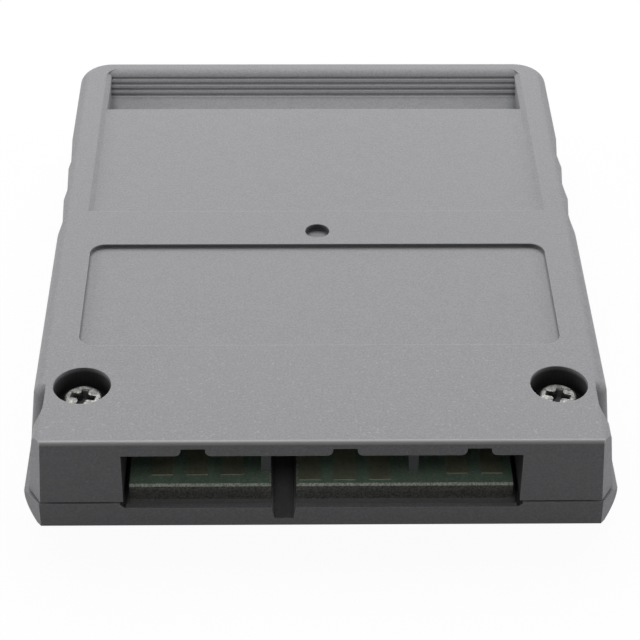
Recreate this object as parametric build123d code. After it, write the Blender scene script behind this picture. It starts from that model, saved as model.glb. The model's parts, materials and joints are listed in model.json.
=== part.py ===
from build123d import *
from math import atan2, radians, tan
import os

# A memory card for a game console: a two-part moulded case, held by two screws, around a circuit board.
# Millimetres. X runs across the card, Y from the connector end to the grip end, Z up.
# The card lies on its label side with the screw side up, centred in X and Y, lowest face at Z = 0.
# Distances called "from the connector face" are measured back along Y from the flat end with the window.

# Outer form
card_length = 56.1
card_width = 44.2            # across the widest line, at the parting plane
card_height = 8.0
parting_height = 2.16        # top of the front cover's outer walls
side_draft = 6.45            # degrees, the back cover's sides lean in towards its top
corner_radius = 3.4          # plan corners of the grip end
top_edge_radius = 1.0
front_edge_radius = 0.25
label_edge_radius = 2.41     # round of the front cover's long edges
seam_gap = 0.16              # between the covers' outer walls: the covers meet at the screw bosses

# Connector nose of the back cover
nose_length = 6.0            # from the connector face to the shoulder of the body
nose_step = 0.38             # narrower than the body, on each side
nose_edge_radius = 0.75
nose_chamfer_across = 0.84   # front upright edges
nose_chamfer_along = 1.4
nose_chamfer_tilt = 3.4      # degrees
tray_chamfer_across = 1.25   # the same edges on the front cover
tray_chamfer_along = 1.6
latch_notch_depth = 1.18     # side notches, measured in from the nose at the parting plane
latch_flat_length = 1.5
latch_ramp_radius = 3.9
shoulder_radius = 1.2        # upright edges of the body behind the notches

# Side grip scallops
scallop_count = 3
scallop_pitch = 4.95
scallop_middle = 35.1        # from the connector face
scallop_radius = 11.3
scallop_depth = 0.28

# Recessed panels, dimple and finger recess of the back cover
near_panel_start = 11.6      # from the connector face
near_panel_end = 25.2
near_panel_inset = 3.57      # from the card's widest line, on each side
near_panel_depth = 0.3
near_panel_corner = 1.2
dimple_distance = 27.1       # from the connector face
dimple_radius = 1.0
dimple_depth = 0.5
far_panel_start = 30.1       # from the connector face
far_panel_inset = 2.95       # from the card's widest line, on each side
far_panel_depth = 0.3
far_panel_bevel = 0.45       # across the bevel along each side, which is as deep as the panel
far_panel_draft = 3.0        # degrees, ends of the finger recess below the bevel
far_panel_corner = 1.5       # plan corners at the grip end
grip_distance = 8.95         # panel's far edge, where the finger recess starts, from the grip end
grip_entry_angle = 50.0      # degrees, slope from the panel's edge down into the recess
grip_entry_round = 1.0       # at the foot of that slope
grip_rim_width = 2.56        # left at the grip end
grip_ramp_length = 2.37
grip_ramp_drop = 1.48
grip_apron_length = 1.47     # gentler slope at the foot of the ramp
grip_depth = 1.93            # at the foot of the apron
grip_round = 2.0             # where the apron, the ramp and the rim meet
groove_count = 4
groove_pitch = 0.575         # along the ramp
groove_radius = 0.2
groove_depth = 0.08
groove_start = 0.76          # first groove from the crest, along the ramp

# Label recess of the front cover
label_inset = 4.6            # from the card's widest line, on each side
label_length = 38.0
label_depth = 0.25
label_corner = 1.5
label_distance = 32.3        # its middle, from the connector face

# Walls
side_wall = 1.4
top_wall = 1.28
grip_wall = 1.2              # under the finger recess
tray_floor = 1.1
sill_wall = 0.5              # front cover's low wall under the window
cheek_length = 10.0          # solid sides of the nose, from the connector face
cheek_width = 7.45           # from the card's widest line to the window

# Connector window and key
sill_drop = 0.46             # front cover's wall under the window, below the parting plane
sill_bevel = 0.25
lip_notch_offset = -0.08     # from the middle of its group of contacts
lip_notch_width = 1.78
lip_notch_height = 0.64
lip_notch_round = 0.45
lip_notch_length = 2.5
divider_offset = -0.36       # from the middle between two groups of contacts
divider_width = 0.72
divider_start = 3.2          # from the connector face
divider_end = 9.5
key_offset = 0.96            # from the middle between the first two groups of contacts
key_width = 1.86
key_floor_width = 1.41
key_drop = 1.06              # below the sill
key_length = 8.4             # from the connector face

# Locating lip, snap hooks and board posts
lip_height = 0.85
lip_thickness = 0.8
lip_clearance = 0.1
hook_spacing = 22.0
hook_width = 6.0
hook_height = 1.9
hook_barb = 0.35
hook_catch = 1.1             # height of the barb's catching face above the parting plane
hook_barb_height = 0.6
hook_clearance = 0.1
post_inset = 5.6             # from the card's widest line, on each side
post_distance = 11.5         # from the grip end
post_radius = 1.2

# Case screws and their seats
screw_inset = 4.26           # from the card's widest line, on each side
screw_distance = 6.66        # from the connector face
well_radius = 2.17
well_depth = 2.0
screw_head_radius = 1.47
screw_head_height = 0.95
screw_head_round = 0.3
screw_shank_radius = 0.95
screw_length = 4.8
screw_tip = 0.4
cross_length = 2.0
cross_width = 0.55
cross_depth = 0.6
cross_turns = (-12.0, -17.0)
thread_clearance = 0.05
hole_clearance = 0.2
boss_radius = 1.9
boss_height = 2.44           # above the parting plane
boss_clearance = 0.1
boss_floor = 0.9             # left under the pilot hole

# Circuit board
board_thickness = 1.4
board_setback = 1.68         # board's front edge from the connector face
board_bevel = 0.16           # along the upper edges of the board's front end and key slot
board_clearance = 0.15
tongue_clearance = 0.35
board_corner = 0.8

# Contact fingers, in groups from left to right
contact_counts = (3, 3, 2)
contact_setbacks = (1.12, 0.5, 1.18)  # near ends of each group, from the board's front edge
contact_end = 9.4            # far ends, from the connector face
contact_left_margin = 2.73   # first contact from the window's left side
contact_right_margin = 1.84
contact_group_gap = 5.81     # between the nearest contacts of two groups
contact_width = 1.6
contact_thickness = 0.06

# Chips and small components
chip_standoff = 0.1
flash_place = (0.0, 36.0)    # across, and from the connector face
flash_size = (18.4, 12.0, 1.0)
flash_leads_per_side = 24
flash_lead_pitch = 0.5
flash_lead_width = 0.22
flash_lead_reach = 0.8
controller_place = (-8.5, 20.5)
controller_size = (10.0, 10.0, 1.4)
controller_leads_per_side = 11
controller_lead_pitch = 0.8
controller_lead_width = 0.35
controller_lead_reach = 1.2
lead_thickness = 0.13
lead_foot = 0.45
regulator_place = (9.5, 19.0)
regulator_size = (4.5, 2.5, 1.5)
regulator_lead_count = 3
regulator_lead_pitch = 1.5
regulator_lead_width = 0.45
regulator_lead_reach = 1.0
capacitor_count = 5
capacitor_size = (2.0, 1.25, 0.85)
capacitor_pitch = 3.2
capacitor_row = (9.5, 25.5)  # middle of the row
resistor_count = 6
resistor_size = (1.6, 0.8, 0.45)
resistor_pitch = 2.65
resistor_row = (1.7, 12.4)
component_bevel = 0.08

# Levels and places that follow from the sizes above
overrun = 2.0                # how far cutting shapes reach past the faces that they cut
front = -card_length / 2
back = card_length / 2
half_width = card_width / 2
lean = tan(radians(side_draft))
ceiling = card_height - top_wall
grip_ceiling = card_height - grip_depth - grip_wall
sill = parting_height - sill_drop
board_top = tray_floor + board_thickness
well_floor = card_height - well_depth
boss_top = parting_height + boss_height
screw_points = [(side * (half_width - screw_inset), front + screw_distance) for side in (-1, 1)]
window_half = half_width - cheek_width
notch_wall = half_width - nose_step - latch_notch_depth
grip_edge = back - grip_distance
grip_crest = back - grip_rim_width
grip_foot = grip_crest - grip_ramp_length - grip_apron_length
lip_inset = side_wall + hook_height * lean + lip_clearance
pocket_inset = lip_inset + lip_thickness
pocket_corner = corner_radius - pocket_inset
contact_row = 2 * window_half - contact_left_margin - contact_right_margin
contact_gaps = (len(contact_counts) - 1) * contact_group_gap
contact_pitch = (contact_row - contact_gaps) / (sum(contact_counts) - len(contact_counts))


def block(x_low, x_high, y_low, y_high, z_low, z_high):
    """Rectangular solid between two corners."""
    middle = Pos((x_low + x_high) / 2, (y_low + y_high) / 2, (z_low + z_high) / 2)
    return middle * Box(x_high - x_low, y_high - y_low, z_high - z_low)


def both_sides(shape):
    """A shape and its mirror image across the card's middle."""
    return shape + mirror(shape, about=Plane.YZ)


def side_plane(distance):
    """Drawing plane facing the connector end: X across, Y up."""
    return Plane(origin=(0, front + distance, 0), x_dir=(1, 0, 0), z_dir=(0, -1, 0))


def across(points, width):
    """Prism across the card from a side outline of (distance along Y, height) points."""
    outline = Plane.YZ * make_face(Polyline(*points, close=True))
    return extrude(outline, amount=width / 2, both=True)


def along(points, start, end):
    """Prism along the card from an end outline of (X, height) points, between two distances."""
    outline = side_plane(start) * make_face(Polyline(*points, close=True))
    return extrude(outline, amount=end - start, dir=(0, 1, 0))


def plan(inset, near, corner):
    """Plan outline, inset from the card's widest line, with its corners rounded at the grip end."""
    half = half_width - inset
    far = back - inset
    outline = Pos(0, (near + far) / 2) * Rectangle(2 * half, far - near)
    return fillet(outline.vertices().group_by(Axis.Y)[-1], corner)


def leaning_form(inset, near, low, high):
    """Solid with the leaning sides of the back cover, between two levels."""
    low_inset = inset - (parting_height - low) * lean
    base = Pos(0, 0, low) * plan(low_inset, near, corner_radius - low_inset)
    return extrude(base, amount=high - low, taper=side_draft)


def scallops():
    """Cutters for the finger scallops in both sides, leaning with the sides."""
    first = scallop_middle - (scallop_count - 1) / 2 * scallop_pitch
    middle = half_width + scallop_radius - scallop_depth
    cutters = Part()
    for index in range(scallop_count):
        place = Pos(middle, front + first + index * scallop_pitch, parting_height)
        cutters += place * Rot(0, -side_draft, 0) * Cylinder(scallop_radius, 4 * card_height)
    return both_sides(cutters)


def corner_cut(face_half, across_size, along_size, tilt, low, high):
    """Cutters for the chamfered upright edges beside the connector face."""
    slope = across_size / along_size
    reach = along_size + overrun
    corners = [
        (-overrun * slope, -overrun),
        (reach * slope, reach),
        (reach * slope + overrun, -overrun),
    ]
    cutter = extrude(make_face(Polyline(*corners, close=True)), amount=high - low)
    return both_sides(Pos(face_half, front, low) * Rot(0, -tilt, 0) * cutter)


def latch_notches():
    """Cutters for the side notches: a flat wall up to the shoulder and a ramp that curves out."""
    flat_end = front + nose_length - latch_flat_length
    outer = half_width + overrun
    low = parting_height - overrun
    flat = block(notch_wall, outer, flat_end, front + nose_length, low, card_height + overrun)
    round_middle = Pos(notch_wall + latch_ramp_radius, flat_end, card_height / 2)
    ramp = round_middle * Cylinder(latch_ramp_radius, 2 * card_height)
    ramp &= block(notch_wall, outer, front - latch_ramp_radius, flat_end, -card_height, 2 * card_height)
    return both_sides(flat + ramp)


def shoulder_rounds():
    """Cutters that round the body's upright edges behind the latch notches, leaning with the sides."""
    reach = shoulder_radius + overrun
    corner = Pos(reach / 2, -reach / 2, 0) * Box(reach, reach, 4 * card_height)
    corner -= Cylinder(shoulder_radius, 4 * card_height)
    place = Pos(half_width - shoulder_radius, front + nose_length + shoulder_radius, parting_height)
    return both_sides(place * Rot(0, -side_draft, 0) * corner)


def back_cover_form():
    """Outer form of the back cover: rounded body and narrower nose, level between the notches."""
    shoulder = front + nose_length
    body = leaning_form(0, front - overrun, parting_height, card_height)
    body -= block(-card_width, card_width, front - 2 * overrun, shoulder, -overrun, card_height + overrun)
    body -= shoulder_rounds()
    body = fillet(body.faces().sort_by(Axis.Z)[-1].edges(), top_edge_radius)
    body += block(
        -notch_wall,
        notch_wall,
        shoulder,
        shoulder + top_edge_radius,
        card_height - top_edge_radius,
        card_height,
    )
    low_half = half_width - nose_step
    high_half = low_half - (card_height - parting_height) * lean
    section = make_face(
        Polyline(
            (-low_half, parting_height),
            (low_half, parting_height),
            (high_half, card_height),
            (-high_half, card_height),
            close=True,
        )
    )
    section = fillet(section.vertices().group_by(Axis.Y)[-1], nose_edge_radius)
    nose = extrude(side_plane(0) * section, amount=nose_length, dir=(0, 1, 0))
    nose -= corner_cut(
        low_half - nose_chamfer_across,
        nose_chamfer_across,
        nose_chamfer_along,
        nose_chamfer_tilt,
        parting_height - overrun,
        card_height + overrun,
    )
    front_edges = nose.faces().sort_by(Axis.Z)[-1].edges().group_by(Axis.Y)
    nose = fillet(front_edges[0] + front_edges[1], front_edge_radius)
    nose -= latch_notches()
    seam = block(-card_width, card_width, -card_length, card_length, 0, parting_height + seam_gap)
    return body + nose - scallops() - seam


def grip_line():
    """Heights along the far panel, down into the finger recess and up its ramp, as a side outline."""
    start = front + far_panel_start
    entry_length = (grip_depth - far_panel_depth) / tan(radians(grip_entry_angle))
    return [
        (start, card_height + overrun),
        (start, card_height - far_panel_depth),
        (grip_edge, card_height - far_panel_depth),
        (grip_edge + entry_length, card_height - grip_depth),
        (grip_foot, card_height - grip_depth),
        (grip_foot + grip_apron_length, card_height - grip_ramp_drop),
        (grip_crest, card_height),
        (back + overrun, card_height),
        (back + overrun, card_height + overrun),
    ]


def far_panel():
    """Cutter for the far panel and the finger recess at the grip end."""
    points = grip_line()
    entry_foot, foot, bend, crest = points[3:7]
    outline = make_face(Polyline(*points, close=True))
    for point in (entry_foot, foot, bend, crest):
        corner = outline.vertices().sort_by_distance((*point, 0))[0]
        outline = fillet(corner, grip_entry_round if point is entry_foot else grip_round)
    floor = extrude(Plane.YZ * outline, amount=half_width, both=True)
    top_half = half_width - far_panel_inset
    wall_half = top_half - far_panel_bevel
    bevel_foot = card_height - far_panel_depth
    low_half = wall_half - bevel_foot * tan(radians(far_panel_draft))
    high_half = top_half + far_panel_bevel * overrun / far_panel_depth
    right_side = [
        (low_half, 0),
        (wall_half, bevel_foot),
        (high_half, card_height + overrun),
    ]
    left_side = [(-x, height) for x, height in reversed(right_side)]
    sides = along(right_side + left_side, far_panel_start, card_length)
    ramp_angle = atan2(grip_ramp_drop, grip_ramp_length)
    far_end = grip_crest + grip_round * tan(ramp_angle / 2)
    start = front + far_panel_start
    corners = Pos(0, (start + far_end) / 2) * Rectangle(2 * top_half, far_end - start)
    corners = fillet(corners.vertices().group_by(Axis.Y)[-1], far_panel_corner)
    return floor & sides & extrude(corners, amount=card_height + overrun)


def grip_grooves():
    """Cutters for the parallel grooves across the ramp of the finger recess."""
    slope = Vector(0, -grip_ramp_length, -grip_ramp_drop).normalized()
    lift = Vector(0, -grip_ramp_drop, grip_ramp_length).normalized() * (groove_radius - groove_depth)
    length = 2 * (half_width - far_panel_inset - far_panel_bevel)
    cutters = Part()
    for index in range(groove_count):
        middle = Vector(0, grip_crest, card_height) + slope * (groove_start + index * groove_pitch) + lift
        cutters += Pos(middle) * Rot(0, 90, 0) * Cylinder(groove_radius, length)
    return cutters


def near_panel():
    """Cutter for the flat panel between the screws and the dimple."""
    width = card_width - 2 * near_panel_inset
    length = near_panel_end - near_panel_start
    place = Pos(0, front + (near_panel_start + near_panel_end) / 2, card_height - near_panel_depth)
    return extrude(place * RectangleRounded(width, length, near_panel_corner), amount=overrun)


def back_cover_cavity():
    """Space inside the back cover: the tunnel behind the window and the room above the board."""
    low = parting_height - overrun
    room = leaning_form(side_wall, front, low, card_height)
    room &= across(
        [
            (front + cheek_length, low),
            (front + cheek_length, ceiling),
            (grip_edge - grip_wall / 2, ceiling),
            (grip_edge - grip_wall / 2, grip_ceiling),
            (back, grip_ceiling),
            (back, low),
        ],
        card_width,
    )
    tunnel = block(-window_half, window_half, front - overrun, front + cheek_length + overrun, low, ceiling)
    return room + tunnel


def lip_notches():
    """Cutters for the notches in the lip above the window, which flare out at their mouths."""
    mouth_half = lip_notch_width / 2 + 2 * lip_notch_round
    notch = Pos(0, lip_notch_height / 2) * Rectangle(lip_notch_width, lip_notch_height)
    mouth = Pos(0, -lip_notch_round) * Rectangle(2 * mouth_half, 2 * lip_notch_round)
    outline = notch + mouth
    flare = outline.vertices().filter_by_position(Axis.Y, -lip_notch_round, lip_notch_round)
    outline = fillet(flare.sort_by(SortBy.DISTANCE)[:2], lip_notch_round)
    cutter = extrude(side_plane(-overrun) * outline, amount=lip_notch_length + overrun, dir=(0, 1, 0))
    cutters = Part()
    for group in contact_groups():
        middle = (group[0] + group[-1]) / 2
        cutters += Pos(middle + lip_notch_offset, 0, ceiling) * cutter
    return cutters


def dividers_and_posts():
    """Ribs between the contact groups and posts that hold the board down, from the ceiling."""
    rib_root = ceiling + top_wall / 2
    parts = Part()
    for middle in group_gaps():
        place = middle + divider_offset
        parts += block(
            place - divider_width / 2,
            place + divider_width / 2,
            front + divider_start,
            front + divider_end,
            board_top,
            rib_root,
        )
    for side in (-1, 1):
        x = side * (half_width - post_inset)
        place = Pos(x, back - post_distance, (board_top + rib_root) / 2)
        parts += place * Cylinder(post_radius, rib_root - board_top)
    return parts


def screw_passages():
    """Cutters for the wells, the screw holes and the sockets over the front cover's bosses."""
    cutters = Part()
    socket_radius = boss_radius + boss_clearance
    for x, y in screw_points:
        well = Cylinder(well_radius, well_depth + overrun, align=(Align.CENTER, Align.CENTER, Align.MIN))
        hole = Cylinder(screw_shank_radius + hole_clearance, card_height)
        socket = Cylinder(
            socket_radius, boss_height + overrun, align=(Align.CENTER, Align.CENTER, Align.MAX)
        )
        cutters += Pos(x, y, well_floor) * well
        cutters += Pos(x, y, card_height / 2) * hole
        cutters += Pos(x, y, boss_top) * socket
    return cutters


def hook_face():
    """Outer face of the locating lip at the grip end."""
    return back - lip_inset


def hook_pockets():
    """Cutters in the back cover's end wall where the snap hooks catch."""
    reach = hook_face() + hook_barb + hook_clearance
    low = parting_height + hook_catch - hook_clearance
    high = parting_height + hook_catch + hook_barb_height + hook_clearance
    half = hook_width / 2 + hook_clearance
    cutters = Part()
    for side in (-1, 1):
        x = side * hook_spacing / 2
        cutters += block(x - half, x + half, hook_face() - hook_clearance, reach, low, high)
    return cutters


def make_back_cover():
    """Upper moulding: window, wells, panels, finger recess, notches and scallops."""
    cover = back_cover_form() - back_cover_cavity()
    cover += dividers_and_posts()
    cover -= near_panel()
    cover -= far_panel()
    cover -= grip_grooves()
    cover -= lip_notches()
    cover -= screw_passages()
    cover -= hook_pockets()
    dimple = Cylinder(dimple_radius, 2 * dimple_depth)
    return cover - Pos(0, front + dimple_distance, card_height) * dimple


def front_cover_form():
    """Outer form of the front cover: a shallow tray with round long edges and a flat connector face."""
    depth = max(label_edge_radius + front_edge_radius, parting_height)
    form = extrude(Pos(0, 0, parting_height - depth) * plan(0, front - overrun, corner_radius), amount=depth)
    form = fillet(form.faces().sort_by(Axis.Z)[0].edges(), label_edge_radius)
    form -= block(-card_width, card_width, -card_length, card_length, -depth, 0)
    form -= block(-card_width, card_width, front - 2 * overrun, front, -overrun, card_height)
    form -= corner_cut(
        half_width - tray_chamfer_across, tray_chamfer_across, tray_chamfer_along, 0, -overrun, card_height
    )
    return form - scallops()


def locating_lip():
    """Lip that stands inside the back cover's walls, with two snap hooks at the grip end."""
    near = front + cheek_length + lip_clearance
    outer = Pos(0, 0, sill) * plan(lip_inset, near, corner_radius - lip_inset)
    inner = Pos(0, 0, sill) * plan(pocket_inset, near - overrun, pocket_corner)
    height = parting_height + lip_height - sill
    lip = extrude(outer, amount=height) - extrude(inner, amount=height)
    catch = parting_height + hook_catch
    outline = [
        (hook_face() - lip_thickness, parting_height),
        (hook_face(), parting_height),
        (hook_face(), catch),
        (hook_face() + hook_barb, catch),
        (hook_face(), catch + hook_barb_height),
        (hook_face(), parting_height + hook_height),
        (hook_face() - lip_thickness, parting_height + hook_height),
    ]
    for side in (-1, 1):
        lip += Pos(side * hook_spacing / 2, 0, 0) * across(outline, hook_width)
    return lip


def front_cover_pocket():
    """Space inside the front cover: the board's seat and the window over the sill."""
    near = front + cheek_length
    top = parting_height + overrun
    seat = extrude(Pos(0, 0, tray_floor) * plan(pocket_inset, near, pocket_corner), amount=top - tray_floor)
    tunnel = block(-window_half, window_half, front + sill_wall, near + overrun, tray_floor, top)
    sill_half = window_half + sill_bevel
    sill_rise = sill + sill_bevel
    opening = along(
        [
            (-window_half, sill),
            (window_half, sill),
            (sill_half, sill_rise),
            (sill_half, top),
            (-sill_half, top),
            (-sill_half, sill_rise),
        ],
        -overrun,
        cheek_length,
    )
    return seat + tunnel + opening


def key_notch():
    """Cutter for the key notch in the front cover's wall and floor."""
    top = sill + overrun
    outline = [
        (-key_floor_width / 2, sill - key_drop),
        (key_floor_width / 2, sill - key_drop),
        (key_width / 2, sill),
        (key_width / 2, top),
        (-key_width / 2, top),
        (-key_width / 2, sill),
    ]
    return Pos(key_place(), 0, 0) * along(outline, -overrun, key_length)


def label_recess():
    """Cutter for the shallow bare recess on the label side."""
    outline = RectangleRounded(card_width - 2 * label_inset, label_length, label_corner)
    return extrude(Pos(0, front + label_distance, -overrun) * outline, amount=overrun + label_depth)


def make_front_cover():
    """Lower moulding: tray with the board's seat, screw bosses, locating lip and snap hooks."""
    tray = front_cover_form() - front_cover_pocket() - key_notch() - label_recess()
    tray += locating_lip()
    for x, y in screw_points:
        boss = Cylinder(boss_radius, boss_top - sill, align=(Align.CENTER, Align.CENTER, Align.MIN))
        pilot = Cylinder(
            screw_shank_radius + thread_clearance,
            card_height,
            align=(Align.CENTER, Align.CENTER, Align.MIN),
        )
        tray += Pos(x, y, sill) * boss
        tray -= Pos(x, y, boss_floor) * pilot
    return tray


def make_case_screw(x, y, turn):
    """Self-tapping pan-head screw with a cross recess, seated in its well."""
    base = (Align.CENTER, Align.CENTER, Align.MIN)
    head = Cylinder(screw_head_radius, screw_head_height, align=base)
    head = fillet(head.edges().sort_by(Axis.Z)[-1], screw_head_round)
    shank = Cylinder(screw_shank_radius, screw_length, align=(Align.CENTER, Align.CENTER, Align.MAX))
    shank = chamfer(shank.edges().sort_by(Axis.Z)[0], screw_tip)
    arm = Pos(0, 0, screw_head_height) * Box(cross_length, cross_width, 2 * cross_depth)
    cross = arm + Rot(0, 0, 90) * arm
    return Pos(x, y, well_floor) * Rot(0, 0, turn) * (head + shank - cross)


def make_circuit_board():
    """Board with a tongue behind the window, a key slot, a bevelled edge and rounded far corners."""
    shoulder = front + cheek_length + board_clearance
    inset = pocket_inset + board_clearance
    wide = plan(inset, shoulder, board_corner)
    tongue_half = window_half - tongue_clearance
    near = front + board_setback
    tongue = Pos(0, (near + shoulder) / 2) * Rectangle(2 * tongue_half, shoulder - near)
    slot_end = front + key_length - key_width / 2
    slot = Pos(0, (near - overrun + slot_end) / 2) * Rectangle(key_width, slot_end - near + overrun)
    slot += Pos(0, slot_end) * Circle(key_width / 2)
    outline = wide + tongue - Pos(key_place(), 0) * slot
    board = extrude(Pos(0, 0, tray_floor) * outline, amount=board_thickness)
    rim = board.faces().sort_by(Axis.Z)[-1].edges()
    bevelled = [edge for edge in rim if is_front_or_slot_edge(edge)]
    return chamfer(bevelled, board_bevel)


def is_front_or_slot_edge(edge):
    """Whether an edge of the board lies on its front edge or on the key slot."""
    middle = edge.center()
    on_front = abs(middle.Y - front - board_setback) < board_bevel
    in_slot = abs(middle.X - key_place()) < key_width and middle.Y < front + key_length + board_bevel
    return on_front or in_slot


def contact_groups():
    """X of each contact finger, group by group, from left to right."""
    groups = []
    x = -window_half + contact_left_margin
    for count in contact_counts:
        groups.append([x + index * contact_pitch for index in range(count)])
        x = groups[-1][-1] + contact_group_gap
    return groups


def group_gaps():
    """X of the middle between each two groups of contacts."""
    groups = contact_groups()
    return [(left[-1] + right[0]) / 2 for left, right in zip(groups, groups[1:])]


def key_place():
    """X of the key notch and of the board's slot behind it."""
    return group_gaps()[0] + key_offset


def make_contacts():
    """Plated contact fingers on the board's tongue, from left to right."""
    half = contact_width / 2
    top = board_top + contact_thickness
    end = front + contact_end
    contacts = []
    for group, setback in zip(contact_groups(), contact_setbacks):
        start = front + board_setback + setback
        contacts += [block(x - half, x + half, start, end, board_top, top) for x in group]
    return contacts


def chip_body(place, size):
    """Moulded chip body, standing just clear of the board."""
    width, depth, height = size
    middle = Pos(place[0], front + place[1], board_top + chip_standoff + height / 2)
    return middle * chamfer(Box(width, depth, height).edges(), component_bevel)


def lead_row(count, pitch, width, reach, rise):
    """A row of bent leads along Y that leave a body's side at X = 0, with their feet at Z = 0."""
    bend = reach - lead_foot
    outline = [
        (0, rise),
        (bend, rise),
        (bend, lead_thickness),
        (reach, lead_thickness),
        (reach, 0),
        (bend - lead_thickness, 0),
        (bend - lead_thickness, rise - lead_thickness),
        (0, rise - lead_thickness),
    ]
    lead = extrude(Plane.XZ * make_face(Polyline(*outline, close=True)), amount=width / 2, both=True)
    first = -(count - 1) / 2 * pitch
    return [Pos(0, first + index * pitch, 0) * lead for index in range(count)]


def chip_leads(place, size, sides, row):
    """The same row of leads on each of the given sides of a chip, by their direction in degrees."""
    leads = []
    middle = Pos(place[0], front + place[1], board_top)
    for direction in sides:
        reach_out = size[0] / 2 if direction % 180 == 0 else size[1] / 2
        leads += [middle * Rot(0, 0, direction) * Pos(reach_out, 0, 0) * lead for lead in row]
    return Compound(children=leads)


def component_row(count, size, pitch, middle):
    """A row of small box-shaped components on the board."""
    width, depth, height = size
    shape = chamfer(Box(width, depth, height).edges(), component_bevel)
    first = middle[0] - (count - 1) / 2 * pitch
    y = front + middle[1]
    return [Pos(first + index * pitch, y, board_top + height / 2) * shape for index in range(count)]


def chip_nodes():
    """Memory, controller and regulator, each as a body and its leads."""
    shoulder = chip_standoff + lead_thickness / 2
    flash_row = lead_row(
        flash_leads_per_side,
        flash_lead_pitch,
        flash_lead_width,
        flash_lead_reach,
        shoulder + flash_size[2] / 2,
    )
    controller_row = lead_row(
        controller_leads_per_side,
        controller_lead_pitch,
        controller_lead_width,
        controller_lead_reach,
        shoulder + controller_size[2] / 2,
    )
    regulator_row = lead_row(
        regulator_lead_count,
        regulator_lead_pitch,
        regulator_lead_width,
        regulator_lead_reach,
        shoulder + regulator_size[2] / 2,
    )
    return {
        "flash_memory_body": chip_body(flash_place, flash_size),
        "flash_memory_leads": chip_leads(flash_place, flash_size, (0, 180), flash_row),
        "controller_body": chip_body(controller_place, controller_size),
        "controller_leads": chip_leads(controller_place, controller_size, (0, 90, 180, 270), controller_row),
        "regulator_body": chip_body(regulator_place, regulator_size),
        "regulator_leads": chip_leads(regulator_place, regulator_size, (270,), regulator_row),
    }


def all_nodes():
    """Every separate piece of the card, by name."""
    nodes = {
        "back_cover": make_back_cover(),
        "front_cover": make_front_cover(),
        "circuit_board": make_circuit_board(),
    }
    screws = [make_case_screw(x, y, turn) for (x, y), turn in zip(screw_points, cross_turns)]
    nodes["case_screws"] = Compound(children=screws)
    for number, shape in enumerate(make_contacts(), start=1):
        nodes[f"contact_{number}"] = shape
    nodes.update(chip_nodes())
    capacitors = component_row(capacitor_count, capacitor_size, capacitor_pitch, capacitor_row)
    for number, shape in enumerate(capacitors, start=1):
        nodes[f"capacitor_{number}"] = shape
    resistors = component_row(resistor_count, resistor_size, resistor_pitch, resistor_row)
    for number, shape in enumerate(resistors, start=1):
        nodes[f"resistor_{number}"] = shape
    return nodes


os.makedirs("parts", exist_ok=True)
for name, shape in all_nodes().items():
    export_step(shape, f"parts/{name}.step")
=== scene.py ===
import json
import math

import bmesh
import bpy
from mathutils import Matrix, Vector


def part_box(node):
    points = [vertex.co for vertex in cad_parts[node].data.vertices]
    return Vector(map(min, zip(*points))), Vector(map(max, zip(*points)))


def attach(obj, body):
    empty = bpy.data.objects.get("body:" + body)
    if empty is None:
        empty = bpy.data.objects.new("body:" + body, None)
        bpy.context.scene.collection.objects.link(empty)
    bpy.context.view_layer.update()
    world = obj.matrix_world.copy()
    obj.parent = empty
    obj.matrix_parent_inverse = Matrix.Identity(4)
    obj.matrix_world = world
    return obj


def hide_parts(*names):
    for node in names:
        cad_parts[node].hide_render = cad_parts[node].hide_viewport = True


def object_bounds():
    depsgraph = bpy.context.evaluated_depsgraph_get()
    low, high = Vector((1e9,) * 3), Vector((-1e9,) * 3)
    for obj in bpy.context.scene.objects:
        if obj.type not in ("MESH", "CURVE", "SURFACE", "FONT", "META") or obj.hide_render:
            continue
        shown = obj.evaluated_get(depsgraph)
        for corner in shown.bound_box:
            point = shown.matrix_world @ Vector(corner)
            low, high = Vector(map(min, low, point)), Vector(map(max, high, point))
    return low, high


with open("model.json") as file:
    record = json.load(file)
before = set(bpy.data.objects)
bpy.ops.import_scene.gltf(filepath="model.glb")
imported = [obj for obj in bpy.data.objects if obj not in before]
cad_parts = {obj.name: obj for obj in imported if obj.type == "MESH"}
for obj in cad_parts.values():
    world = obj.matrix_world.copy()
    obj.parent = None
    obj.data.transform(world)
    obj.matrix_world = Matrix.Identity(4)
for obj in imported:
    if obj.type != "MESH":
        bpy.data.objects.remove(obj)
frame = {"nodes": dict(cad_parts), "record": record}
cad_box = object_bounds()


def grey(level):
    return (level, level, level, 1.0)


# Sizes in metres, angles in degrees. The card lies on its label side, connector end towards the camera.
mm = 0.001

# Camera, found from the photograph's outline, screw wells and window
camera_place = (-2.64 * mm, -142.38 * mm, 104.08 * mm)
camera_yaw = 1.19
camera_elevation = 36.65
camera_roll = 0.55
camera_focal_pixels = 2066.0
camera_near = 1.0 * mm
picture_pixels = 640.0
sensor_width = 36.0          # in millimetres, as Blender's lenses are

# Floor and light
floor_size = 4.0
floor_gap = 0.02 * mm        # keeps the floor clear of the card's flat foot
floor_bounce = 0.22          # share of the light that the floor hands back to the card
floor_tint = 0.05            # the same share as the eye sees it, which keeps the shadow faint
floor_glow = 0.95            # added for the eye, so that the lit floor is white
world_light = 0.03
lamp_aim = (0.0, 0.0, 0.0)
lamps = {
    # name: (place, width, depth, power)
    "back_lamp": ((0.0, 0.42, 0.42), 0.70, 0.45, 3.9),
    "left_lamp": ((-0.50, 0.05, 0.15), 0.35, 0.20, 1.55),
    "right_lamp": ((0.50, 0.05, 0.15), 0.35, 0.20, 1.30),
    "front_lamp": ((0.0, -0.46, 0.58), 0.50, 0.20, 0.42),
}

# Moulded case
smooth_angle = 29.0          # facets that meet at less are shaded as one curved surface
weld_distance = 0.001 * mm
edge_round = 0.10 * mm       # softness of the moulding's crisp edges
edge_samples = 6
hollow_shade_reach = 3.0 * mm      # painted shade darkens where surfaces this close shelter each other
hollow_samples = 8

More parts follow.
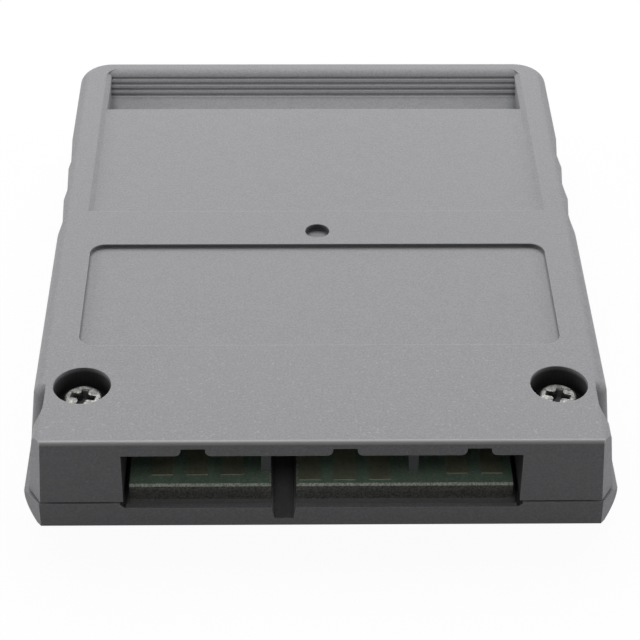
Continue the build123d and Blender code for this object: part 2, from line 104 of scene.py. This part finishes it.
# Case screws: the frame gives their places and outer sizes
screw_turns = (-12.0, -17.0)
head_height = 0.95 * mm
head_round = 0.30 * mm
shank_radius = 0.95 * mm
shank_tip = 0.40 * mm
screw_sides = 48
round_steps = 6
cross_top = (2.00 * mm, 0.58 * mm)       # length and width of the recess's arms at the head's top
cross_foot = (1.10 * mm, 0.34 * mm)
cross_depth = 0.60 * mm
cross_rise = 0.06 * mm                   # how far the recess's punch stands over the head
cross_web = 0.16 * mm                    # bevel of the recess's inner corners

# Patterns of the finishes. Sizes and reaches are in millimetres on the card, colours and shares from 0 to 1.
# A range is where a mask starts and where it is full. A relief is a bump's depth, in metres, and strength.

# Case plastic
plastic_tones = ((0.248, 0.248, 0.260, 1.0), (0.262, 0.262, 0.273, 1.0))
plastic_specular = 0.36
plastic_roughness = 0.46
cloud_size = 11.0
cloud_range = (0.30, 0.70)
cloud_roughness = 0.10
blotch_size = 0.90
blotch_range = (0.35, 0.70)
blotch_colour = (0.222, 0.222, 0.233, 1.0)
blotch_share = 0.35
blotch_height = 0.60                     # beside the grain's own height
grain_size = 0.16
grain_range = (0.42, 0.62)
grain_colour = (0.150, 0.150, 0.157, 1.0)
grain_share = 0.40
grain_roughness = 0.08
grain_relief = (0.02 * mm, 0.28)
speck_size = 0.22
speck_range = (0.60, 0.78)
speck_colour = grey(0.42)
speck_share = 0.08
speck_wear = 0.26                        # added towards the connector end
wear_reach = (4.0, 26.0)                 # behind the connector face, where the added specks fade out
# Edges paled partly by wear and partly as painted highlight
worn_and_highlight_colour = grey(0.50)
edge_range = (0.02, 0.25)                # how far the rounded normal leaves the plain one
edge_wear_and_highlight_share = 0.60
front_highlight_reach = (0.16, 0.34)          # painted highlight line, from the corner of the connector face and the top
front_highlight_share = 0.90
# painted shade: near-black laid where shade falls, in hollows, screw wells and the window's sides
painted_shade_colour = grey(0.012)
hollow_range = (0.30, 0.60)
hollow_shade_share = 0.70
well_and_cheek_shade_share = 0.95

# Painted shade in the screw wells and on the sides of the connector window
well_edge = (2.15, 2.25)                 # from a screw's axis
well_top = (0.05, 0.50)                  # under the card's top
well_foot = (0.20, 0.40)                 # under the screws' seats
cheek_start = (14.40, 14.55)             # from the card's middle to the window's sides
cheek_end = (14.90, 15.05)
cheek_mouth = (0.05, 0.20)               # behind the connector face
cheek_depth = (7.0, 8.0)
cheek_top = (0.95, 1.10)                 # under the card's top
cheek_foot = (1.00, 1.20)                # over the card's foot

# Circuit board
mask_tones = ((0.250, 0.390, 0.280, 1.0), (0.320, 0.480, 0.350, 1.0))
mask_cloud_size = 2.5
mask_roughness = 0.34
track_colour = (0.360, 0.560, 0.390, 1.0)
track_share = 0.45
track_stretch = (1.0, 0.12, 1.0)         # tracks run along the card
track_size = 1.3
track_waves = 14.0
track_range = (0.55, 0.75)
dust_colour = (0.650, 0.650, 0.590, 1.0)
dust_share = 0.60
dust_size = 0.16
dust_range = (0.45, 0.70)
dust_roughness = 0.30
dust_height = 0.40                       # beside the tracks' own height
board_relief = (0.03 * mm, 0.5)
# Painted shade: the cut wall's laminate is darkened where it stands in shade
shaded_core_tones = ((0.110, 0.114, 0.104, 1.0), (0.290, 0.290, 0.262, 1.0))
shaded_core_range = (0.30, 0.70)
# Painted highlight: the bevelled rim's laminate is painted pale as a lit line
highlight_rim_tones = ((0.30, 0.36, 0.28, 1.0), (0.75, 0.77, 0.68, 1.0))
highlight_rim_range = (0.35, 0.60)
face_range = (0.90, 0.97)                # upright part of the normal, from the bevelled rim to the flat face
wall_range = (0.30, 0.50)                # the same, from the cut wall to the rim

# Contacts
gold_tones = ((0.400, 0.450, 0.310, 1.0), (0.600, 0.600, 0.430, 1.0))
gold_metallic = 0.75
gold_roughness = 0.34
gold_rub_stretch = (1.0, 0.08, 1.0)      # the connector rubs along the card
gold_rub_size = 0.10
gold_rub_roughness = 0.25
gold_relief = (0.01 * mm, 0.5)
film_colour = (0.250, 0.370, 0.250, 1.0)
film_share = 0.70
film_size = 0.35
film_range = (0.45, 0.75)
film_dulling = 0.60                      # taken from the metal's share
# Painted highlight: the contacts' upright ends are painted pale, as if lit
end_highlight_colour = (0.85, 0.80, 0.62, 1.0)
end_highlight_range = (0.20, 0.60)                 # upright part of the normal, from a contact's end to its top

# Screw steel
steel_tones = ((0.05, 0.05, 0.048, 1.0), (0.26, 0.26, 0.25, 1.0))
steel_roughness = 0.30
steel_rub_size = 0.22
steel_rub_range = (0.30, 0.70)
steel_rub_roughness = 0.22
steel_rub_height = 2.0                   # beside the turning marks' own height
steel_relief = (0.006 * mm, 0.6)
ring_waves = 95.0                        # radians of turning marks to each millimetre
# Painted shade: the cross recesses are darkened and dulled where shade falls
recess_shade_colour = grey(0.012)
recess_depth = (0.06, 0.30)              # under the head's top
recess_edge = (1.05, 1.15)               # from the screw's axis
recess_shade_dulling = 0.80
recess_roughness = 0.20

# Pieces inside the case
inner_finishes = {
    # slot: (colour, paler colour, size of the clouds, roughness, metallic)
    "chip_black": (grey(0.016), grey(0.030), 1.2, 0.55, 0.0),
    "lead_tin": (grey(0.450), grey(0.620), 0.4, 0.30, 1.0),
    "capacitor_tan": ((0.30, 0.19, 0.10, 1.0), (0.40, 0.27, 0.15, 1.0), 0.6, 0.45, 0.0),
    "resistor_black": (grey(0.020), grey(0.035), 0.6, 0.40, 0.0),
}
inner_roughness_spread = 0.15
inner_relief = (0.02 * mm, 0.3)


class Value:
    """A node's output. Arithmetic on it adds Math nodes to its tree."""

    def __init__(self, nodes, socket):
        self.nodes = nodes
        self.socket = socket

    def math(self, operation, *others):
        return self.nodes.node("ShaderNodeMath", {"operation": operation}, [self, *others])

    def __add__(self, other):
        return self.math("ADD", other)

    def __radd__(self, other):
        return self.math("ADD", other)

    def __sub__(self, other):
        return self.math("SUBTRACT", other)

    def __rsub__(self, other):
        return self.nodes.node("ShaderNodeMath", {"operation": "SUBTRACT"}, [other, self])

    def __mul__(self, other):
        return self.math("MULTIPLY", other)

    def __rmul__(self, other):
        return self.math("MULTIPLY", other)

    def between(self, low, high):
        """0 below low, 1 above high, and smooth between."""
        settings = {"interpolation_type": "SMOOTHSTEP"}
        inputs = {"Value": self, "From Min": low, "From Max": high}
        return self.nodes.node("ShaderNodeMapRange", settings, inputs)


class Nodes:
    """A node tree under construction."""

    def __init__(self, tree):
        self.tree = tree
        self.tree.nodes.clear()

    def node(self, kind, settings=None, inputs=None, output=0):
        """Add a node: its settings first, then the values or links of its sockets, by name or in order.

        The result is the output that is asked for, or a list where several are.
        """
        made = self.tree.nodes.new(kind)
        for key, value in (settings or {}).items():
            setattr(made, key, value)
        pairs = inputs.items() if isinstance(inputs, dict) else enumerate(inputs or [])
        for key, value in pairs:
            if isinstance(value, Value):
                self.tree.links.new(value.socket, made.inputs[key])
            else:
                made.inputs[key].default_value = value
        if isinstance(output, tuple):
            return [Value(self, made.outputs[key]) for key in output]
        return Value(self, made.outputs[output]) if made.outputs else None

    def seen(self):
        """1 for the eye and for what gloss shows of the surroundings, 0 for the light that they give."""
        outputs = ("Is Camera Ray", "Is Glossy Ray", "Is Transmission Ray")
        camera_ray, glossy_ray, clear_ray = self.node("ShaderNodeLightPath", output=outputs)
        return camera_ray.math("MAXIMUM", glossy_ray.math("MAXIMUM", clear_ray))


class Finish(Nodes):
    """A material under construction."""

    def __init__(self, name):
        self.material = bpy.data.materials.new(name)
        self.material.use_nodes = True
        super().__init__(self.material.node_tree)

    def place(self):
        """Position on the object, in millimetres."""
        point = self.node("ShaderNodeTexCoord", output="Object")
        return self.node("ShaderNodeVectorMath", {"operation": "SCALE"}, {"Vector": point, "Scale": 1 / mm})

    def split(self, vector):
        return self.node("ShaderNodeSeparateXYZ", None, [vector], output=(0, 1, 2))

    def upright(self):
        """Upright part of the normal: 1 on what faces up, 0 on a wall."""
        normal = self.node("ShaderNodeNewGeometry", output="Normal")
        return self.split(normal)[2]

    def stretch(self, point, scale):
        return self.node("ShaderNodeMapping", None, {"Vector": point, "Scale": scale})

    def noise(self, point, size, detail=2.0, roughness=0.5):
        """Cloudy noise with features of about a size in millimetres."""
        inputs = {"Vector": point, "Scale": 1 / size, "Detail": detail, "Roughness": roughness}
        return self.node("ShaderNodeTexNoise", None, inputs)

    def blend(self, share, first, second):
        """Mix of two colours."""
        inputs = {"Factor": share, 6: first, 7: second}
        return self.node("ShaderNodeMix", {"data_type": "RGBA"}, inputs, output=2)

    def soft_edges(self, radius):
        """Normal rounded over the edges, and a mask that is 1 on them."""
        rounded = self.node("ShaderNodeBevel", {"samples": edge_samples}, {"Radius": radius})
        plain = self.node("ShaderNodeNewGeometry", output="Normal")
        settings = {"operation": "DOT_PRODUCT"}
        likeness = self.node("ShaderNodeVectorMath", settings, [rounded, plain], output=1)
        return rounded, (1 - likeness).between(*edge_range)

    def shelter(self, reach):
        """0 where a surface is open to its surroundings, towards 1 in hollows and corners."""
        settings = {"samples": hollow_samples, "only_local": True}
        return 1 - self.node("ShaderNodeAmbientOcclusion", settings, {"Distance": reach}, output="AO")

    def bump(self, height, relief, normal=None):
        """Normal that follows a height, over another normal where one is given."""
        depth, strength = relief
        inputs = {"Height": height, "Distance": depth, "Strength": strength}
        if normal is not None:
            inputs["Normal"] = normal
        return self.node("ShaderNodeBump", None, inputs)

    def end(self, shader):
        self.node("ShaderNodeOutputMaterial", None, {"Surface": shader})
        return self.material


def screw_seats():
    """Head radius and shank length of the case screws, and the places of their seats, from the frame."""
    low, high = (Vector(corner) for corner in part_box("case_screws"))
    head_radius = (high.y - low.y) / 2
    seat = high.z - head_height
    middle = (low.y + high.y) / 2
    seats = [Vector((x, middle, seat)) for x in (low.x + head_radius, high.x - head_radius)]
    return head_radius, seat - low.z, seats


def screw_distance(x, y):
    """Distance from the nearer screw's axis. The two stand evenly about the card's middle."""
    seats = screw_seats()[2]
    aside = x.math("ABSOLUTE") - seats[1].x / mm
    along = y - seats[1].y / mm
    return (aside * aside + along * along).math("SQRT")


def well_shade(x, y, z, below):
    """Mask of the painted shade in the screw wells, from just under the card's top to their floors."""
    seat = screw_seats()[2][0].z / mm
    well = (1 - screw_distance(x, y).between(*well_edge)) * below.between(*well_top)
    return well * z.between(seat - well_foot[1], seat - well_foot[0])


def cheek_shade(x, z, behind, below):
    """Mask of the painted shade on the two sides of the connector window."""
    aside = x.math("ABSOLUTE")
    cheek = aside.between(*cheek_start) * (1 - aside.between(*cheek_end))
    cheek = cheek * behind.between(*cheek_mouth) * (1 - behind.between(*cheek_depth))
    return cheek * below.between(*cheek_top) * z.between(*cheek_foot)


def case_plastic():
    """Grey moulded plastic: fine grain, soft blotches, pale specks, edges paled by wear and painted
    highlight, a painted highlight along the top front edge, and painted shade in hollows, screw wells and
    the window's sides.
    """
    finish = Finish("case_plastic")
    point = finish.place()
    x, y, z = finish.split(point)
    behind = y - cad_box[0][1] / mm
    below = cad_box[1][2] / mm - z
    cloud = finish.noise(point, cloud_size)
    blotch = finish.noise(point, blotch_size, detail=3.0, roughness=0.6)
    grain = finish.noise(point, grain_size, roughness=0.7)
    speck = finish.noise(point, speck_size, detail=1.0).between(*speck_range)
    worn = 1 - behind.between(*wear_reach)
    rounded, edge = finish.soft_edges(edge_round)
    # painted highlight: a pale line along the top front edge; the bevel mask pales edges by wear and painted
    # highlight
    front_edge_highlight = 1 - (behind * behind + below * below).math("SQRT").between(*front_highlight_reach)
    worn_and_highlit_edges = (edge_wear_and_highlight_share * edge).math("MAXIMUM", front_highlight_share * front_edge_highlight)
    hollow_shade = finish.shelter(hollow_shade_reach).between(*hollow_range)
    # painted shade: the screw wells and the window's sides darkened where shade falls
    well_and_cheek_shade = well_shade(x, y, z, below).math("MAXIMUM", cheek_shade(x, z, behind, below))
    colour = finish.blend(cloud.between(*cloud_range), *plastic_tones)
    colour = finish.blend(blotch.between(*blotch_range) * blotch_share, colour, blotch_colour)
    colour = finish.blend(grain.between(*grain_range) * grain_share, colour, grain_colour)
    colour = finish.blend(speck * (speck_share + speck_wear * worn), colour, speck_colour)
    # edges paled by wear and painted highlight
    colour = finish.blend(worn_and_highlit_edges, colour, worn_and_highlight_colour)
    # painted shade: the plastic darkened in sheltered hollows
    colour = finish.blend(hollow_shade * hollow_shade_share, colour, painted_shade_colour)
    # painted shade laid into the screw wells and the window's sides
    colour = finish.blend(well_and_cheek_shade * well_and_cheek_shade_share, colour, painted_shade_colour)
    shader = finish.node("ShaderNodeBsdfPrincipled", None, {
        "Base Color": colour,
        "Roughness": plastic_roughness + cloud_roughness * cloud + grain_roughness * grain,
        "Specular IOR Level": plastic_specular,
        "Normal": finish.bump(grain + blotch_height * blotch, grain_relief, rounded),
    })
    return finish.end(shader)


def board_laminate():
    """Green solder mask over copper tracks, with dust; the laminate is painted pale on the bevelled rim as a
    highlight and darkened on the cut wall as painted shade.
    """
    finish = Finish("board_laminate")
    point = finish.place()
    flat = finish.upright().math("ABSOLUTE")
    cloud = finish.noise(point, mask_cloud_size, detail=3.0)
    dust = finish.noise(point, dust_size, roughness=0.7)
    wander = finish.noise(finish.stretch(point, track_stretch), track_size, detail=0.0)
    track = (wander * track_waves).math("SINE").between(*track_range)
    shaded_core = finish.blend(dust.between(*shaded_core_range), *shaded_core_tones)
    rim = finish.blend(dust.between(*highlight_rim_range), *highlight_rim_tones)
    colour = finish.blend(cloud, *mask_tones)
    colour = finish.blend(track * track_share, colour, track_colour)
    colour = finish.blend(dust.between(*dust_range) * dust_share, colour, dust_colour)
    # painted highlight on the bevelled rim
    colour = finish.blend(1 - flat.between(*face_range), colour, rim)
    # painted shade on the cut wall
    colour = finish.blend(1 - flat.between(*wall_range), colour, shaded_core)
    shader = finish.node("ShaderNodeBsdfPrincipled", None, {
        "Base Color": colour,
        "Roughness": mask_roughness + dust_roughness * dust,
        "Normal": finish.bump(track + dust_height * dust, board_relief),
    })
    return finish.end(shader)


def contact_gold():
    """Thin gold plating, dulled, worn the way that the connector slides, and painted pale on its upright
    ends as a highlight.
    """
    finish = Finish("contact_gold")
    point = finish.place()
    rub = finish.noise(finish.stretch(point, gold_rub_stretch), gold_rub_size, detail=3.0)
    film = finish.noise(point, film_size, detail=3.0, roughness=0.65)
    # painted highlight: mask of the contacts' upright ends, made pale and bare of metal
    end = 1 - finish.upright().between(*end_highlight_range)
    colour = finish.blend(rub, *gold_tones)
    colour = finish.blend(film.between(*film_range) * film_share, colour, film_colour)
    colour = finish.blend(end, colour, end_highlight_colour)
    shader = finish.node("ShaderNodeBsdfPrincipled", None, {
        "Base Color": colour,
        "Metallic": (1 - end) * (gold_metallic - film_dulling * film),
        "Roughness": gold_roughness + gold_rub_roughness * rub,
        "Normal": finish.bump(rub, gold_relief),
    })
    return finish.end(shader)


def screw_steel(head_top):
    """Plated steel with turning marks on the heads, and painted shade in the cross recesses."""
    finish = Finish("screw_steel")
    point = finish.place()
    x, y, z = finish.split(point)
    radius = screw_distance(x, y)
    rub = finish.noise(point, steel_rub_size, detail=4.0, roughness=0.7)
    ring = (radius * ring_waves).math("SINE")
    sunk = head_top / mm - z
    # painted shade: mask of the cross recesses
    recess = sunk.between(*recess_depth) * (1 - radius.between(*recess_edge))
    colour = finish.blend(rub.between(*steel_rub_range), *steel_tones)
    colour = finish.blend(recess, colour, recess_shade_colour)
    shader = finish.node("ShaderNodeBsdfPrincipled", None, {
        "Base Color": colour,
        "Metallic": 1.0 - recess_shade_dulling * recess,
        "Roughness": steel_roughness + steel_rub_roughness * rub + recess_roughness * recess,
        "Normal": finish.bump(ring + steel_rub_height * rub, steel_relief),
    })
    return finish.end(shader)


def dull(name, colour, paler, size, roughness, metallic):
    """Finish of a small piece inside the case: two tones of one colour, clouded."""
    finish = Finish(name)
    cloud = finish.noise(finish.place(), size, detail=3.0)
    shader = finish.node("ShaderNodeBsdfPrincipled", None, {
        "Base Color": finish.blend(cloud, colour, paler),
        "Roughness": roughness + inner_roughness_spread * cloud,
        "Metallic": metallic,
        "Normal": finish.bump(cloud, inner_relief),
    })
    return finish.end(shader)


def lit_floor():
    """Pale floor that looks white, keeps a faint shadow and hands light back to the card's sides."""
    finish = Finish("pale_floor")
    bounce = finish.node("ShaderNodeBsdfDiffuse", None, {"Color": grey(floor_bounce)})
    tint = finish.node("ShaderNodeBsdfDiffuse", None, {"Color": grey(floor_tint)})
    glow = finish.node("ShaderNodeEmission", None, {"Color": grey(1.0), "Strength": floor_glow})
    white = finish.node("ShaderNodeAddShader", None, [tint, glow])
    return finish.end(finish.node("ShaderNodeMixShader", None, [finish.seen(), bounce, white]))


def mesh_object(name, mesh):
    made = bpy.data.objects.new(name, mesh)
    bpy.context.scene.collection.objects.link(made)
    return made


def form_object(name, form):
    """Turn a form under construction into an object."""
    mesh = bpy.data.meshes.new(name)
    form.to_mesh(mesh)
    form.free()
    return mesh_object(name, mesh)


def finished(piece):
    """Turn a piece and its modifiers into a plain mesh."""
    bpy.context.view_layer.update()
    evaluated = piece.evaluated_get(bpy.context.evaluated_depsgraph_get())
    mesh = bpy.data.meshes.new_from_object(evaluated)
    mesh.name = piece.name
    piece.modifiers.clear()
    piece.data = mesh
    return piece


def shade_curves(form):
    """Shade a form as smooth curves between its real edges."""
    for face in form.faces:
        face.smooth = True
        face.material_index = 0
    for edge in form.edges:
        edge.smooth = edge.calc_face_angle(math.pi) < math.radians(smooth_angle)


def moulded(node, name, material):
    """A welded copy of a solid, with even shading over its curves."""
    form = bmesh.new()
    form.from_mesh(frame["nodes"][node].data)
    for layer in list(form.loops.layers.float_vector.values()):
        form.loops.layers.float_vector.remove(layer)
    bmesh.ops.remove_doubles(form, verts=form.verts, dist=weld_distance)
    shade_curves(form)
    piece = form_object(name, form)
    for attribute in [a.name for a in piece.data.attributes if a.name == "custom_normal"]:
        piece.data.attributes.remove(piece.data.attributes[attribute])
    piece.data.materials.append(material)
    weights = piece.modifiers.new("even_shading", "WEIGHTED_NORMAL")
    weights.keep_sharp = True
    weights.mode = "FACE_AREA"
    finished(piece)
    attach(piece, "root")
    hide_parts(node)


def turned_blank(head_radius, shank_length):
    """Screw before its recess is pressed: the outline of its head and shank, turned about its axis."""
    outline = [(0.0, head_height)]
    for step in range(round_steps + 1):
        turn = math.radians(90.0 * (1 - step / round_steps))
        radius = head_radius - head_round + head_round * math.cos(turn)
        outline.append((radius, head_height - head_round + head_round * math.sin(turn)))
    outline.append((head_radius, 0.0))
    outline.append((shank_radius, 0.0))
    outline.append((shank_radius, -shank_length + shank_tip))
    outline.append((shank_radius - shank_tip, -shank_length))
    outline.append((0.0, -shank_length))
    form = bmesh.new()
    points = [form.verts.new((radius, 0.0, height)) for radius, height in outline]
    sides = [form.edges.new(pair) for pair in zip(points, points[1:])]
    bmesh.ops.spin(
        form, geom=points + sides, cent=(0, 0, 0), axis=(0, 0, 1), angle=math.tau, steps=screw_sides
    )
    bmesh.ops.remove_doubles(form, verts=form.verts, dist=weld_distance)
    bmesh.ops.recalc_face_normals(form, faces=form.faces)
    return form


def cross_outline(size):
    """Outline of the cross recess, with bevelled inner corners."""
    length, width = size
    half = width / 2
    corner = [
        (length / 2, half),
        (half + cross_web, half),
        (half, half + cross_web),
        (half, length / 2),
    ]
    points = []
    for quarter in range(4):
        turn = Matrix.Rotation(quarter * math.pi / 2, 2)
        points += [turn @ Vector(point) for point in corner]
    return points


def cross_punch():
    """Tapered punch of the cross recess."""
    form = bmesh.new()
    rings = []
    for size, height in ((cross_foot, head_height - cross_depth), (cross_top, head_height + cross_rise)):
        rings.append([form.verts.new((x, y, height)) for x, y in cross_outline(size)])
    low, high = rings
    for index in range(len(low)):
        after = (index + 1) % len(low)
        form.faces.new((low[index], low[after], high[after], high[index]))
    form.faces.new(reversed(low))
    form.faces.new(high)
    bmesh.ops.recalc_face_normals(form, faces=form.faces)
    return form


def screw_pattern(head_radius, shank_length):
    """One screw at the origin: a turned blank with the recess punched out of its head."""
    screw = form_object("screw_pattern", turned_blank(head_radius, shank_length))
    punch = form_object("screw_punch", cross_punch())
    press = screw.modifiers.new("recess", "BOOLEAN")
    press.operation = "DIFFERENCE"
    press.solver = "EXACT"
    press.object = punch
    finished(screw)
    bpy.data.objects.remove(punch)
    form = bmesh.new()
    form.from_mesh(screw.data)
    shade_curves(form)
    form.to_mesh(screw.data)
    form.free()
    return screw


def screw_row_tree():
    """Geometry nodes that set a screw on each seat, each with its own turn."""
    tree = bpy.data.node_groups.new("screw_row", "GeometryNodeTree")
    inputs = {
        "Screw": "NodeSocketObject",
        "Finish": "NodeSocketMaterial",
        "First Place": "NodeSocketVector",
        "Spacing": "NodeSocketFloat",
        "First Turn": "NodeSocketFloat",
        "Turn Step": "NodeSocketFloat",
    }
    for name, kind in inputs.items():
        tree.interface.new_socket(name, in_out="INPUT", socket_type=kind)
    tree.interface.new_socket("Geometry", in_out="OUTPUT", socket_type="NodeSocketGeometry")
    nodes = Nodes(tree)
    given = nodes.node("NodeGroupInput", output=tuple(inputs))
    screw, finish, first_place, spacing, first_turn, turn_step = given
    step = nodes.node("ShaderNodeCombineXYZ", None, {"X": spacing})
    line = {"Count": len(screw_turns), "Start Location": first_place, "Offset": step}
    seats = nodes.node("GeometryNodeMeshLine", None, line, output="Mesh")
    turn = nodes.node("GeometryNodeInputIndex") * turn_step + first_turn
    angles = nodes.node("ShaderNodeCombineXYZ", None, {"Z": turn})
    turned = nodes.node("FunctionNodeEulerToRotation", None, {"Euler": angles})
    shape = nodes.node("GeometryNodeObjectInfo", None, {"Object": screw}, output="Geometry")
    copies = {"Points": seats, "Instance": shape, "Rotation": turned}
    row = nodes.node("GeometryNodeInstanceOnPoints", None, copies)
    solid = nodes.node("GeometryNodeRealizeInstances", None, {"Geometry": row})
    dressed = nodes.node("GeometryNodeSetMaterial", None, {"Geometry": solid, "Material": finish})
    nodes.node("NodeGroupOutput", None, {"Geometry": dressed})
    return tree


def case_screws():
    """The two case screws, on the seats that the frame gives."""
    head_radius, shank_length, seats = screw_seats()
    pattern = screw_pattern(head_radius, shank_length)
    first, second = (math.radians(turn) for turn in screw_turns)
    piece = mesh_object("case_screw_pair", bpy.data.meshes.new("case_screw_pair"))
    modifier = piece.modifiers.new("screw_row", "NODES")
    modifier.node_group = screw_row_tree()
    settings = {
        "Screw": pattern,
        "Finish": screw_steel(seats[0].z + head_height),
        "First Place": seats[0],
        "Spacing": seats[1].x - seats[0].x,
        "First Turn": first,
        "Turn Step": second - first,
    }
    for socket in modifier.node_group.interface.items_tree:
        if socket.in_out == "INPUT":
            modifier[socket.identifier] = settings[socket.name]
    finished(piece)
    bpy.data.objects.remove(pattern)
    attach(piece, "root")
    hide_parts("case_screws")


def place_camera():
    yaw, tilt, roll = (math.radians(a) for a in (camera_yaw, camera_elevation, camera_roll))
    ahead = Vector((math.sin(yaw) * math.cos(tilt), math.cos(yaw) * math.cos(tilt), -math.sin(tilt)))
    right = Vector((math.cos(yaw), -math.sin(yaw), 0.0))
    up = right.cross(ahead)
    turned_right = math.cos(roll) * right + math.sin(roll) * up
    turned_up = math.cos(roll) * up - math.sin(roll) * right
    turn = Matrix((turned_right, turned_up, -ahead)).transposed().to_4x4()
    data = bpy.data.cameras.new("camera")
    data.sensor_width = sensor_width
    data.lens = sensor_width * camera_focal_pixels / picture_pixels
    data.clip_start = camera_near
    camera = bpy.data.objects.new("camera", data)
    bpy.context.scene.collection.objects.link(camera)
    camera.matrix_world = Matrix.Translation(camera_place) @ turn
    bpy.context.scene.camera = camera


def place_floor():
    form = bmesh.new()
    drop = Matrix.Translation((0.0, 0.0, -floor_gap))
    bmesh.ops.create_grid(form, x_segments=1, y_segments=1, size=floor_size / 2, matrix=drop)
    floor = form_object("floor", form)
    floor.data.materials.append(lit_floor())


def place_lamps():
    for name, (place, width, depth, power) in lamps.items():
        data = bpy.data.lights.new(name, "AREA")
        data.shape = "RECTANGLE"
        data.size = width
        data.size_y = depth
        data.energy = power
        lamp = bpy.data.objects.new(name, data)
        bpy.context.scene.collection.objects.link(lamp)
        lamp.location = place
        lamp.rotation_euler = (Vector(lamp_aim) - Vector(place)).to_track_quat("-Z", "Y").to_euler()


def light_world():
    """White surroundings for the eye and for gloss, and a faint even light for the rest."""
    world = bpy.data.worlds.new("studio")
    world.use_nodes = True
    nodes = Nodes(world.node_tree)
    strength = world_light + (1 - world_light) * nodes.seen()
    sky = nodes.node("ShaderNodeBackground", None, {"Color": grey(1.0), "Strength": strength})
    nodes.node("ShaderNodeOutputWorld", None, {"Surface": sky})
    bpy.context.scene.world = world


def dress_nodes():
    """Give the solids that stay their finishes, by their slots in the record."""
    finishes = {slot: dull(slot, *values) for slot, values in inner_finishes.items()}
    finishes["board_laminate"] = board_laminate()
    finishes["contact_gold"] = contact_gold()
    for part in frame["record"]["subparts"]:
        if part["material_slot"] in finishes:
            mesh = frame["nodes"][part["node"]].data
            mesh.materials.clear()
            mesh.materials.append(finishes[part["material_slot"]])


def main():
    place_camera()
    place_floor()
    place_lamps()
    light_world()
    dress_nodes()
    plastic = case_plastic()
    for node in ("back_cover", "front_cover"):
        moulded(node, node + "_moulding", plastic)
    case_screws()


main()
bpy.context.scene.view_settings.view_transform = "Standard"
